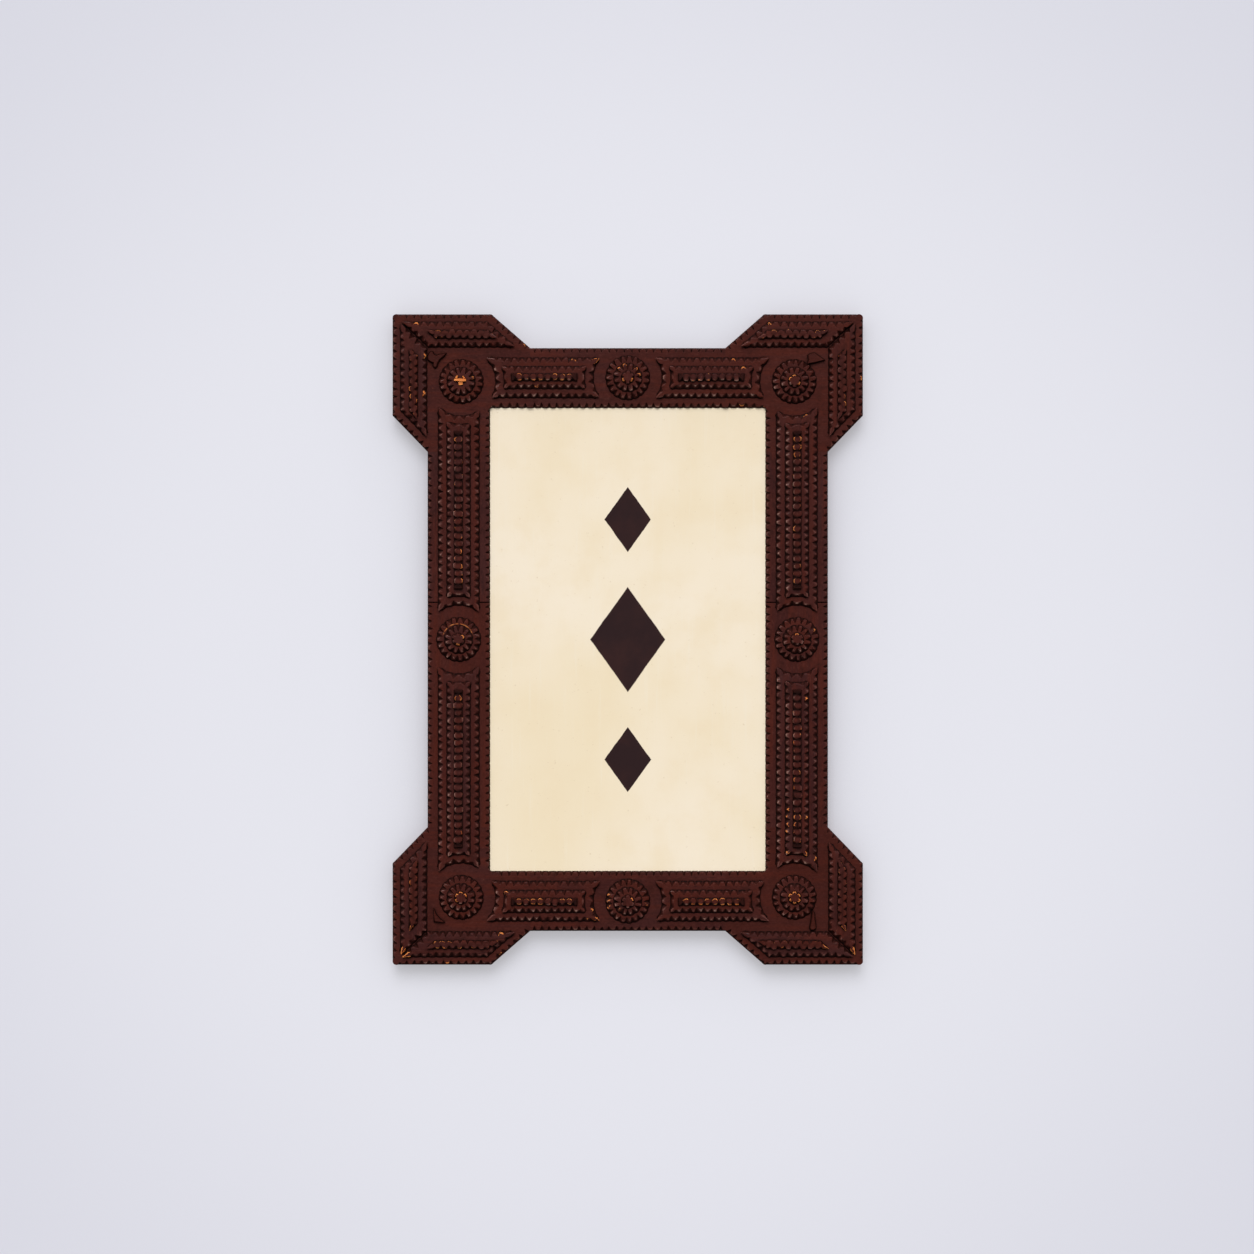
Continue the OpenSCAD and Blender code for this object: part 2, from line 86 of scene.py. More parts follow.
class Signal:
    """A number or colour that varies over a surface. Arithmetic on it adds the nodes for it."""

    def __init__(self, nodes, socket):
        self.nodes = nodes
        self.socket = socket

    def maths(self, operation, *values):
        return self.nodes.node("ShaderNodeMath", {"operation": operation}, *values)

    def __add__(self, other):
        return self.maths("ADD", self, other)

    def __radd__(self, other):
        return self.maths("ADD", other, self)

    def __sub__(self, other):
        return self.maths("SUBTRACT", self, other)

    def __rsub__(self, other):
        return self.maths("SUBTRACT", other, self)

    def __mul__(self, other):
        return self.maths("MULTIPLY", self, other)

    def __rmul__(self, other):
        return self.maths("MULTIPLY", other, self)

    def __truediv__(self, other):
        return self.maths("DIVIDE", self, other)

    def __abs__(self):
        return self.maths("ABSOLUTE", self)

    def rising(self, low, high):
        """0 at low and 1 at high, in a smooth curve."""
        settings = {"interpolation_type": "SMOOTHSTEP"}
        return self.nodes.node("ShaderNodeMapRange", settings, self, low, high, 0.0, 1.0)

    def higher_of(self, other):
        return self.maths("MAXIMUM", self, other)


class Nodes:
    """The nodes of a material or of the sky."""

    def __init__(self, tree):
        self.tree = tree

    def put(self, socket, value):
        if isinstance(value, Signal):
            self.tree.links.new(value.socket, socket)
        elif value is not None:
            socket.default_value = value

    def node(self, kind, settings, *values, out=0, **named):
        """A node's chosen output, or the node itself where it has none. Values go into its sockets in
        order, or by name."""
        node = self.tree.nodes.new(kind)
        for key, value in settings.items():
            setattr(node, key, value)
        for socket, value in zip(node.inputs, values):
            self.put(socket, value)
        for key, value in named.items():
            self.put(node.inputs[key], value)
        return Signal(self, node.outputs[out]) if node.outputs else node


class Finish(Nodes):
    """One material with a Principled surface."""

    def __init__(self, name):
        self.material = bpy.data.materials.new(name)
        self.material.use_nodes = True
        super().__init__(self.material.node_tree)
        self.tree.nodes.clear()
        self.surface = self.node("ShaderNodeBsdfPrincipled", {})
        self.output = self.node("ShaderNodeOutputMaterial", {}, self.surface)

    def attribute(self, name, out="Fac"):
        return self.node("ShaderNodeAttribute", {"attribute_name": name}, out=out)

    def place(self):
        """Where a point of the surface lies, in metres."""
        return self.node("ShaderNodeTexCoord", {}, out="Object")

    def part(self, vector, axis):
        return self.node("ShaderNodeSeparateXYZ", {}, vector, out=axis)

    def vector_maths(self, operation, *values, out=0):
        return self.node("ShaderNodeVectorMath", {"operation": operation}, *values, out=out)

    def scaled(self, vector, scale):
        return self.node("ShaderNodeMapping", {}, vector, None, (0, 0, 0), scale)

    def noise(self, vector, scale, detail, roughness):
        return self.node("ShaderNodeTexNoise", {}, Vector=vector, Scale=scale, Detail=detail,
                         Roughness=roughness)

    def hollow(self, reach):
        """Near 0 in the open, and more where other surfaces within reach close in."""
        settings = {"samples": 8}
        return 1.0 - self.node("ShaderNodeAmbientOcclusion", settings, Distance=reach, out="AO")

    def mix(self, amount, first, second):
        """Colours blended by an amount from 0 to 1."""
        unused = [None] * 5
        return self.node("ShaderNodeMix", {"data_type": "RGBA"}, amount, *unused, first, second, out=2)

    def bump(self, height, distance, strength):
        return self.node("ShaderNodeBump", {}, Strength=strength, Distance=distance, Height=height)

    def set(self, **values):
        """Puts values on the surface's own sockets, such as Base_Color."""
        for key, value in values.items():
            self.put(self.surface.socket.node.inputs[key.replace("_", " ")], value)
        return self.material


def srgb(red, green, blue):
    """A colour as the eye names it, from 0 to 255, as the linear colour that a shader takes."""
    def linear(c):
        c /= 255
        return c / 12.92 if c <= 0.04045 else ((c + 0.055) / 1.055) ** 2.4
    return (linear(red), linear(green), linear(blue), 1.0)


def shellac(name, field, edge, glint, scribed=None):
    """Stained wood under worn shellac: field is the plain colour, edge that of rubbed edges, lighter
    from wear and as painted highlight, glint the gloss of a rubbed tip, and scribed the (x, z, radius)
    in mm of a compass line bared in the upper half of a disc. Scales of noise are per metre: along the
    grain, across it and into the wood."""
    wood = Finish(name)
    grain = wood.attribute("grain", out="Vector")
    lines = wood.noise(wood.scaled(grain, (55, 900, 900)), 1.0, 4.0, 0.6)
    streaks = wood.noise(wood.scaled(grain, (12, 160, 160)), 1.0, 3.0, 0.5)
    patches = wood.noise(wood.scaled(grain, (34, 34, 34)), 1.0, 3.0, 0.55)
    sheen_clouds = wood.noise(wood.scaled(grain, (9, 22, 22)), 1.0, 2.0, 0.5)
    blotches = wood.noise(wood.scaled(grain, (120, 150, 150)), 1.0, 2.0, 0.5)
    chips = wood.noise(wood.scaled(grain, (420, 700, 700)), 1.0, 2.0, 0.5)
    specks = wood.noise(wood.scaled(grain, (650, 950, 950)), 1.0, 2.0, 0.6)
    board = wood.attribute("board")
    dirt = wood.attribute("dirt")
    rub_and_sheen = wood.attribute("rub_and_sheen")
    bare = wood.attribute("bare")
    # The old finish: patchy, streaked along the grain and redder on some slats than on others; the greyer
    # clouds over it are painted sheen
    colour = wood.mix(patches.rising(0.4, 0.62), field, srgb(59, 26, 24))
    colour = wood.mix(sheen_clouds.rising(0.45, 0.65) * 0.7, colour, srgb(65, 33, 31))
    colour = wood.mix(streaks.rising(0.42, 0.68) * 0.65, colour, srgb(82, 32, 22))
    colour = wood.mix(lines.rising(0.5, 0.72) * 0.4, colour, srgb(36, 13, 11))
    colour = wood.mix(blotches.rising(0.52, 0.72) * 0.5, colour, srgb(40, 17, 14))
    colour = wood.mix(board * 0.42, colour, srgb(76, 28, 17))
    colour = wood.mix(chips.rising(0.54, 0.74) * 0.3, colour, srgb(90, 48, 41))
    colour = wood.mix((1.0 - chips).rising(0.54, 0.74) * 0.4, colour, srgb(40, 14, 11))
    # Rubbed edges and tips, lighter partly from wear and partly as painted highlight, palest at the tips
    worn = rub_and_sheen * (0.6 + patches * 0.8 + (chips - 0.5) * 1.2)
    colour = wood.mix(worn.rising(0.12, 0.75) * 0.85, colour, edge)
    rubbed_tips_and_highlights = ((rub_and_sheen - 0.9) * (0.5 + chips)).rising(0.1, 0.85)
    colour = wood.mix(rubbed_tips_and_highlights, colour, srgb(140, 104, 92))
    # Dirt in the cuts, and painted shade: darker deep in the cuts and wherever other surfaces close in,
    # near black at the bottom
    crevice_dirt_and_shade = dirt.higher_of((wood.hollow(4.5 * millimetre) * 1.5 - 0.12).rising(0.0, 0.95))
    colour = wood.mix(crevice_dirt_and_shade.rising(0.0, 0.5) * 0.85, colour, srgb(44, 14, 9))
    colour = wood.mix(crevice_dirt_and_shade.rising(0.35, 0.9) * 0.92, colour, srgb(17, 4, 3))
    # Pale specks where the shellac has crazed, also painted glints, most on rubbed edges
    crazed_and_glints = (specks.rising(0.62, 0.74) * (0.15 + rub_and_sheen)).rising(0.1, 1.2)
    colour = wood.mix(crazed_and_glints * 0.7, colour, srgb(150, 122, 112))
    # Bare wood where a tip is chipped, or along the compass line
    broken = (bare + (chips - 0.5) * 2.4 + (lines - 0.5) * 0.8).rising(0.72, 0.95)
    if scribed:
        x, z, radius = (size * millimetre for size in scribed)
        offset = wood.vector_maths("SUBTRACT", wood.place(), (x, 0, z))
        flat = wood.vector_maths("MULTIPLY", offset, (1, 0, 1))
        out = wood.vector_maths("LENGTH", flat, out="Value")
        line = 1.0 - abs(out - radius).rising(0.15 * millimetre, 0.55 * millimetre)
        upper_half = wood.part(offset, "Z").rising(2 * millimetre, 7 * millimetre)
        arc = line * upper_half * (chips + patches).rising(0.8, 1.1)
        broken = broken.higher_of(arc * 0.6)
    raw = wood.mix(lines.rising(0.35, 0.7), srgb(230, 146, 80), srgb(182, 92, 42))
    colour = wood.mix(broken, colour, raw)
    rough = 0.42 + patches * 0.2 + broken * 0.3 + crevice_dirt_and_shade * 0.3 - rub_and_sheen * 0.1
    normal = wood.bump(lines * 0.5 + blotches * 0.5, 0.35 * millimetre, 0.6)
    polish = 0.02 + glint * rub_and_sheen * (1.0 - broken)
    return wood.set(Base_Color=colour, Roughness=rough, Normal=normal, Coat_Weight=polish,
                    Coat_Roughness=0.2, Specular_IOR_Level=0.06)


plain_finish = shellac("shellac_facing", srgb(66, 28, 23), srgb(88, 47, 39), 0.2)


def islands_of(bm):
    """The separate solids of a mesh, each as a list of vertices."""
    seen = set()
    found = []
    for start in bm.verts:
        if start in seen:
            continue
        island = [start]
        seen.add(start)
        for vert in island:
            for edge in vert.link_edges:
                other = edge.other_vert(vert)
                if other not in seen:
                    seen.add(other)
                    island.append(other)
        found.append(island)
    return found


def solid_copy(node):
    """A node's mesh as flat many-sided faces instead of loose triangles."""
    bm = bmesh.new()
    bm.from_mesh(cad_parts[node].data)
    bmesh.ops.remove_doubles(bm, verts=bm.verts, dist=1e-6)
    bmesh.ops.dissolve_limit(bm, angle_limit=math.radians(0.5), verts=bm.verts, edges=bm.edges)
    return bm


def cross(a, b):
    return a.x * b.y - a.y * b.x


def front_outlines(node):
    """Outline of each solid's carved front as (x, z) points with the wood on the left, and the depths
    of its front and of its back."""
    bm = solid_copy(node)
    found = []
    for solid in islands_of(bm):
        depths = [round(v.co.y, 6) for v in solid]
        front = min(depths)
        faces = {face for v in solid for face in v.link_faces}
        level = [face for face in faces if all(abs(v.co.y - front) < 1e-5 for v in face.verts)]
        carved = max(level, key=lambda face: face.calc_area())
        points = [Vector((v.co.x, v.co.z)) for v in carved.verts]
        if sum(cross(points[i - 1], points[i]) for i in range(len(points))) < 0:
            points.reverse()
        found.append((points, front, max(depths)))
    bm.free()
    return found


class Knife:
    """How a slat was cut and has worn. Lengths are in mm."""
    core = 0.8         # how far behind the cuts the root of the wood between them lies
    rough = 1.0        # how uneven the work is
    blunt = 0.9        # how far a tongue's corners are rounded
    widen = 1.0        # share of its own widening that each tongue gets
    deep = 1.3         # how much deeper the cuts are in front than the notches drawn
    slope = 1.0        # how far a tongue's tip leans in
    soft = 0.6         # how far a plain edge leans in
    # polish and rubbed_by also set how much painted highlight the tips and edges get
    polish = 1.0       # how much more a tip is rubbed than the flanks
    rubbed_by = 1.0    # how much all edges are rubbed
    clean_edge = 0.0   # how much cleaner the back edge is
    grime = 0.0        # dirt on the flat between the cuts
    chipped = 1.0      # how bare a broken tongue is
    flecked = 0.0      # how bare the whole ones are
    seams = ()         # butt joints: across which axis, where, and how far open in front

    def __init__(self, **settings):
        for name, value in settings.items():
            setattr(self, name, value)


class Ring:
    """A line round a slat's edge. down is how far behind the front it lies and tip_in how far in a
    tongue's tip, both in mm, and cut_in how far in a cut reaches as a share of its depth. dirt lies on
    the tongues and cut_dirt_and_shade in the cuts, each partly dirt and partly painted shade, and rub is
    wear and painted highlight. squared says how far a tongue's end is squared, shifted how much of its own
    shift it takes, sunk how much of its wear in depth, and bare how bare a broken one is."""

    def __init__(self, down, tip_in, cut_in, dirt, cut_dirt_and_shade, rub_and_sheen, squared, shifted, sunk, bare):
        self.down = down
        self.tip_in = tip_in
        self.cut_in = cut_in
        self.dirt = dirt
        self.cut_dirt_and_shade = cut_dirt_and_shade
        self.rub_and_sheen = rub_and_sheen
        self.squared = squared
        self.shifted = shifted
        self.sunk = sunk
        self.bare = bare


# From the flat in front over the worn rim and down the sloping cuts to the back. The dirt columns
# grow with depth as dirt and as painted shade, and the rub column is wear and painted highlight.
RINGS = (
    # down, tip in, cut in, dirt, cut dirt, rub, squared, shifted, sunk, bare
    Ring(0.00, 3.20, 1.00, 0.00, 0.00, 0.15, 0.0, 0.0, 0.0, 0.0),
    Ring(0.03, 2.10, 1.00, 0.00, 0.10, 0.55, 0.0, 1.0, 0.4, 0.6),
    Ring(0.12, 1.60, 1.00, 0.00, 0.35, 1.00, 0.0, 1.0, 1.0, 1.0),
    Ring(0.35, 1.28, 0.96, 0.05, 0.50, 0.90, 0.0, 1.0, 1.0, 1.0),
    Ring(0.70, 1.02, 0.88, 0.15, 0.60, 0.45, 0.0, 1.0, 1.0, 0.6),
    Ring(1.30, 0.70, 0.66, 0.40, 0.70, 0.10, 0.3, 0.6, 0.6, 0.2),
    Ring(2.20, 0.30, 0.32, 0.75, 0.85, 0.00, 0.7, 0.0, 0.0, 0.0),
    Ring(3.00, 0.00, 0.06, 0.95, 0.95, 0.00, 1.0, 0.0, 0.0, 0.0),
)
# Dust lies behind the worn rim, and the back edge of some slats is cleaner, in mm from the front
rim_end = 0.05
back_edge_start = 2.0


class PlainEdge:
    """A point of an edge between the notches, and which way it leans in."""

    def __init__(self, place, inward):
        self.place = place
        self.inward = inward

    def on(self, ring, clean, knife, draw):
        """Place, how far sunk, dirt, rubbing and bareness on a ring."""
        near_seam, leaned, furthest = 3 * millimetre, 0.75, 1.35
        place = self.place.copy()
        lean = self.inward * knife.soft
        for axis, at, gap in knife.seams:
            if abs(place[axis] - at) < near_seam:
                lean[1 - axis] = math.copysign(leaned, lean[1 - axis])
                lean[axis] = math.copysign(gap, lean[axis])
        place += lean * min(ring.tip_in, furthest) * millimetre
        # Deeper rings are darker, partly as dirt and partly as painted shade
        dirt = max(ring.dirt * clean * (0.3 + knife.soft), 0.7 * knife.grime)
        return place, 0.0, dirt, 0.4 * ring.rub_and_sheen * knife.rubbed_by, 0.0


class Cut:
    """The bottom of a notch: its mouth's middle, and how far and which way the cut goes in."""

    def __init__(self, place, mouth, inward):
        self.place = place
        self.mouth = mouth
        self.inward = inward

    def on(self, ring, clean, knife, draw):
        rim_tip_in = 1.6
        direction = self.inward.normalized()
        opens_upward = max(0.0, -direction.y)
        place = self.mouth + self.inward * ring.cut_in
        place += direction * max(0.0, ring.tip_in - rim_tip_in) * 0.5 * knife.core * millimetre
        # Cuts that open upward get less painted shade, as light from above falls into them
        dirt = max(ring.cut_dirt_and_shade * clean, knife.grime) * (1 - 0.45 * opens_upward)
        return place, 0.0, dirt, 0.0, 0.0


class Tongue:
    """The wood between two notches, with how it was cut and worn."""

    def __init__(self, tip, root, draw, share, rough):
        self.tip = tip
        self.root = root
        self.outward = (tip - root).normalized()
        self.drop = draw.uniform(0.0, 0.3) * rough
        self.tilt = draw.uniform(-0.25, 0.25) * rough
        self.shift = Vector((draw.uniform(-0.3, 0.3), draw.uniform(-0.3, 0.3))) * millimetre * rough
        self.short = draw.uniform(-0.35, 0.45) * rough
        self.widen = draw.uniform(-0.15, 0.65) * millimetre
        # Tips that point down and left are lightened most, partly as rubbing by hands and dusters and
        # partly as painted highlight; those that point up least
        rubbed_and_lit = 0.62 - 0.5 * self.outward.y - 0.22 * self.outward.x
        self.worn = draw.uniform(0.3, 1.4) * min(1.0, max(0.12, rubbed_and_lit))
        self.broken = draw.random() < share
        if self.broken:
            self.drop = draw.uniform(0.2, 1.0)
            self.tilt = draw.uniform(-0.4, 0.4)
            self.short = draw.uniform(0.0, 0.6)


class TongueEdge:
    """A point of a tongue's outline."""

    def __init__(self, place, tongue):
        self.place = place
        self.tongue = tongue
        self.side = cross(tongue.outward, place - tongue.root) / millimetre

    def on(self, ring, clean, knife, draw):
        full_height, tip_length = 3.4 * millimetre, 2.6 * millimetre
        tongue = self.tongue
        upward = tongue.outward.y
        place = self.place + tongue.outward * (tongue.tip - self.place).dot(tongue.outward) * ring.squared
        inward = tongue.root - place
        height = min(1.0, inward.length / full_height)
        pulled = ring.tip_in * knife.slope * (1 - 0.35 * upward) + tongue.short * ring.shifted
        pulled *= height * millimetre
        place += inward.normalized() * min(pulled, 0.8 * inward.length)
        place += tongue.shift * ring.shifted * height
        sunk = tongue.drop + tongue.tilt * self.side
        if tongue.broken:
            sunk += draw.uniform(-0.2, 0.2)
        sunk = max(0.0, sunk) * ring.sunk * height * millimetre
        dust = 0.25 * max(0.0, upward) if ring.down > rim_end else 0.0
        near_tip = max(0.0, 1.0 - (tongue.tip - self.place).length / tip_length)
        rub_and_sheen = ring.rub_and_sheen * knife.rubbed_by * tongue.worn * (1.0 + near_tip * knife.polish)
        bare = ring.bare * knife.chipped if tongue.broken else ring.shifted * knife.flecked
        return place, sunk, min(1.0, ring.dirt * clean + dust), rub_and_sheen, bare


def rounded(before, corner, after, size):
    """A corner as a short curve."""
    a = corner + (before - corner).normalized() * min(size, 0.45 * (before - corner).length)
    b = corner + (after - corner).normalized() * min(size, 0.45 * (after - corner).length)
    return [a * (1 - s) ** 2 + corner * 2 * s * (1 - s) + b * s ** 2 for s in (0, 0.33, 0.67, 1)]


def knife_work(points, draw, share, knife):
    """Turns a plain notched outline into rounded, uneven tongues between sloping cuts. The cuts are
    kept shallow where two of them come close at a corner."""
    sharpest, longest, too_close = -80, 5.5 * millimetre, 4.4 * millimetre
    count = len(points)
    steps = [points[(i + 1) % count] - points[i] for i in range(count)]
    bends = [math.degrees(math.atan2(cross(steps[i - 1], steps[i]), steps[i - 1].dot(steps[i])))
             for i in range(count)]
    notches = [i for i in range(count)
               if bends[i] < sharpest and steps[i - 1].length < longest and steps[i].length < longest]

    def plain(i):
        a, b = steps[i - 1].normalized(), steps[i].normalized()
        normal = (Vector((-a.y, a.x)) + Vector((-b.y, b.x))) / max(0.7, 1 + a.dot(b))
        return PlainEdge(points[i], normal)

    def mouth_of(i):
        return (points[(i + 1) % count] + points[i - 1]) / 2

    def crowded(i):
        if count <= 3 * len(notches):
            return False
        inward = points[i] - mouth_of(i)
        return any((points[other] - points[i]).length < too_close
                   and inward.dot(points[other] - mouth_of(other)) > -0.9 * inward.length_squared
                   for other in notches if other != i)

    def cut(i):
        skew, reach = draw.uniform(-0.16, 0.16), draw.uniform(0.88, 1.1) * knife.deep
        if crowded(i):
            skew, reach = 0.0, 0.85
        mouth = mouth_of(i)
        inward = points[i] - mouth
        return Cut(points[i], mouth + (points[(i + 1) % count] - points[i - 1]) * skew, inward * reach)

    def tongue_edge(run, start, end):
        tip = sum((points[i] for i in run), Vector((0, 0))) / len(run)
        middle = (points[start] + points[end]) / 2
        root = middle + (middle - tip).normalized() * knife.core * millimetre
        tongue = Tongue(tip, root, draw, share(tip), knife.rough)
        corners = {i: points[i] for i in run}
        if len(run) == 2:
            for i in run:
                corners[i] = points[i] + (points[i] - tip).normalized() * tongue.widen * knife.widen
        for i in run:
            before = corners.get(i - 1, points[i - 1])
            after = corners.get((i + 1) % count, points[(i + 1) % count])
            for place in rounded(before, corners[i], after, knife.blunt * millimetre):
                yield TongueEdge(place, tongue)

    if not notches:
        return [plain(i) for i in range(count)]
    outline = []
    for order, start in enumerate(notches):
        end = notches[(order + 1) % len(notches)]
        run = [(start + k) % count for k in range(1, (end - start) % count or count)]
        outline.append(cut(start))
        if len(notches) > 1 and len(run) <= 3:
            outline.extend(tongue_edge(run, start, end))
        else:
            outline.extend(plain(i) for i in run)
    return outline


def finish_piece(bm, node, name, finish, body, flat=()):
    """A mesh made into a piece that stands for a node, rides on its body and has its finish."""
    smooth_below = 38
    mesh = bpy.data.meshes.new(name)
    bm.to_mesh(mesh)
    bm.free()
    piece = bpy.data.objects.new(name, mesh)
    bpy.context.scene.collection.objects.link(piece)
    mesh.materials.append(finish)
    mesh.set_sharp_from_angle(angle=math.radians(smooth_below))
    for index in flat:
        mesh.polygons[index].use_smooth = False
    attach(piece, body)
    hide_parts(node)
    return piece


def spots(base, *places):
    """The share of broken tongues at a place: base all over and higher in worn spots, each given as
    (x, z, radius, share) in mm."""
    def share(place):
        most = base
        for x, z, radius, high in places:
            gap = math.hypot(place.x / millimetre - x, place.y / millimetre - z)
            if gap < radius:
                most = max(most, high)
        return most
    return share


def carve(node, finish, slot, knife, wear=spots(0.0), along=None, shape=None, add=None):
    """Stands a knife-cut copy in for a slat's node, with the same outline, faces and thickness. along
    is the axis that the grain follows, the longer one if none is given. shape changes an outline
    before it is cut, or drops it, and add puts more on the mesh."""
    draw = random.Random(node)
    bm = bmesh.new()
    order = bm.verts.layers.int.new("order")
    dirt = bm.verts.layers.float.new("dirt")
    rub_and_sheen = bm.verts.layers.float.new("rub_and_sheen")
    bare = bm.verts.layers.float.new("bare")
    board = bm.verts.layers.float.new("board")
    grain = bm.verts.layers.float_vector.new("grain")
    flats = []
    for points, front, back in front_outlines(node):
        points = shape(points) if shape else points
        if points is None:
            continue
        offset = Vector((draw.uniform(0, 9), draw.uniform(0, 9), draw.uniform(0, 9)))
        tone = draw.uniform(0.2, 1.2) if along == "x" else draw.uniform(-0.6, 1.0)
        spread = [max(p[axis] for p in points) - min(p[axis] for p in points) for axis in (0, 1)]
        upright = spread[1] > spread[0] if along is None else along == "z"
        outline = knife_work(points, draw, wear, knife)
        rim = [bm.verts.new((point.place.x, back, point.place.y)) for point in outline]
        for index, vert in enumerate(rim):
            vert[order] = index
        face = bm.faces.new(rim)
        flats.append(face)
        for ring in reversed(RINGS):
            if ring is not RINGS[-1]:
                made = bmesh.ops.extrude_face_region(bm, geom=[face])["geom"]
                face = next(item for item in made if isinstance(item, bmesh.types.BMFace))
            depth = front + (back - front) * ring.down / RINGS[-1].down
            clean = 1 - knife.clean_edge if ring.down > back_edge_start else 1.0
            for vert in face.verts:
                # Each ring's darkening is partly painted shade, and its rubbing partly painted highlight
                place, sunk, dirt_and_shade, worn, broken = outline[vert[order]].on(ring, clean, knife, draw)
                vert.co = (place.x, depth + sunk, place.y)
                vert[dirt] = dirt_and_shade
                vert[rub_and_sheen] = worn
                vert[bare] = broken
                vert[board] = tone
                along_grain, across = (place.y, place.x) if upright else (place.x, place.y)
                vert[grain] = Vector((along_grain, across, depth + sunk)) + offset
        flats.append(face)
    # The filling of a many-sided face is exact enough only in millimetres
    bmesh.ops.scale(bm, vec=(1000, 1000, 1000), verts=bm.verts)
    bmesh.ops.recalc_face_normals(bm, faces=bm.faces)
    flats = bmesh.ops.triangulate(bm, faces=flats, quad_method="BEAUTY", ngon_method="BEAUTY")["faces"]
    bmesh.ops.scale(bm, vec=(millimetre, millimetre, millimetre), verts=bm.verts)
    bm.verts.layers.int.remove(order)
    if add:
        add(bm, draw)
    bm.faces.index_update()
    return finish_piece(bm, node, node + "_carved", finish, "frame", [f.index for f in flats])


corner_end_x = 78 * millimetre
corner_end_z = 150 * millimetre
stile_seam = 29.75 * millimetre
BUTT_JOINTS = ((0, -corner_end_x, 0.0), (0, corner_end_x, 0.0), (1, -corner_end_z, 0.0),
               (1, corner_end_z, 0.0), (1, stile_seam, 0.35))


def butted(points):
    """The two slats of a stile meet a little above its middle."""
    return [Vector((x, stile_seam)) if abs(z - stile_seam) < millimetre else Vector((x, z))
            for x, z in points]


facing_wear = spots(0.006, (60, 228, 8, 0.2), (-150, -256, 14, 0.25))
facing_cut = {"rough": 0.7, "soft": 0.08, "polish": 0.3, "blunt": 0.6, "widen": 0.6, "slope": 0.75,
              "deep": 1.65, "clean_edge": 0.6, "seams": BUTT_JOINTS}
facing_knife = Knife(**facing_cut)
CORNER_GRIME = {"top_left": 0.0, "top_right": 0.0, "bottom_left": 0.0, "bottom_right": 0.16}
for corner, grime in CORNER_GRIME.items():
    carve("facing_corner_" + corner, plain_finish, "facing_wood", Knife(grime=grime, **facing_cut),
          wear=facing_wear, along="x")
for rail in RAILS:
    carve("facing_rail_" + rail, plain_finish, "facing_wood", facing_knife, wear=facing_wear)
for side in SIDES:
    carve("facing_stile_" + side, plain_finish, "facing_wood", facing_knife, wear=facing_wear,
          shape=butted)

# Panels
# Two stepped slats with hollow ends and a notched ridge strip, stacked and glued between the rosettes
# on every rail and stile. The ridge strips stand highest, and are the most worn.
CORNERS = ("top_left", "top_right", "bottom_left", "bottom_right")
STILES = ("left", "right")
carved_finish = shellac("shellac_layers", srgb(68, 27, 21), srgb(96, 55, 48), 0.4)
panel_knife = Knife()
rail_ridge_knife = Knife(core=0.2, rough=1.6, blunt=0.6, widen=0.2, deep=1.2, slope=0.6, polish=1.9,
                         grime=0.85, chipped=1.25, flecked=0.46)
stile_ridge_knife = Knife(core=0.25, rough=2.1, blunt=0.6, widen=0.2, deep=1.35, slope=0.6, polish=1.7,
                          grime=0.85, chipped=1.25, flecked=0.42)
first_wear = spots(0.008, (-21, 222, 5, 0.9), (32, -221, 4, 1.0), (-30, -221, 8, 1.0))
second_wear = spots(0.012, (-71, 203, 5, 0.7), (95, 217, 4, 0.9), (95, 204, 4, 0.9),
                    (-144.6, 177, 4, 1.0), (127, -135, 4, 1.0), (127, -143, 5, 1.0),
                    (127, -154, 4, 1.0), (125.5, -171, 4, 1.0), (144, -172, 4, 1.0),
                    (142, -47, 3.5, 0.9), (-35, -216, 4, 0.9))
ridge_wear = spots(0.04, (-89, 210, 6, 1.0), (-66, 210, 26, 0.4), (-138, 168, 4, 0.8),
                   (-134, 58, 4, 1.0), (-135, 45, 6, 0.8), (133, 155, 12, 0.95), (62, -208, 30, 0.75),
                   (-86, -208, 6, 1.0), (-73, -208, 7, 1.0), (-46, -208, 7, 1.0), (132, -144, 8, 0.7),
                   (134.4, -164, 5, 1.0), (132.5, -41, 4, 0.9))
for corner in CORNERS:
    carve("rail_panel_" + corner, carved_finish, "carved_wood", panel_knife, wear=first_wear, along="x")
for side in SIDES:
    carve("stile_panel_" + side, carved_finish, "carved_wood", panel_knife, wear=first_wear, along="z")
for rail in RAILS:
    carve("rail_second_layer_" + rail, carved_finish, "carved_wood", panel_knife, wear=second_wear,
          along="x")
for stile in STILES:
    carve("stile_second_layer_" + stile, carved_finish, "carved_wood", panel_knife, wear=second_wear,
          along="z")
carve("rail_ridge_strips", carved_finish, "carved_wood", rail_ridge_knife, wear=ridge_wear, along="x")
carve("stile_ridge_strips", carved_finish, "carved_wood", stile_ridge_knife, wear=ridge_wear, along="z")

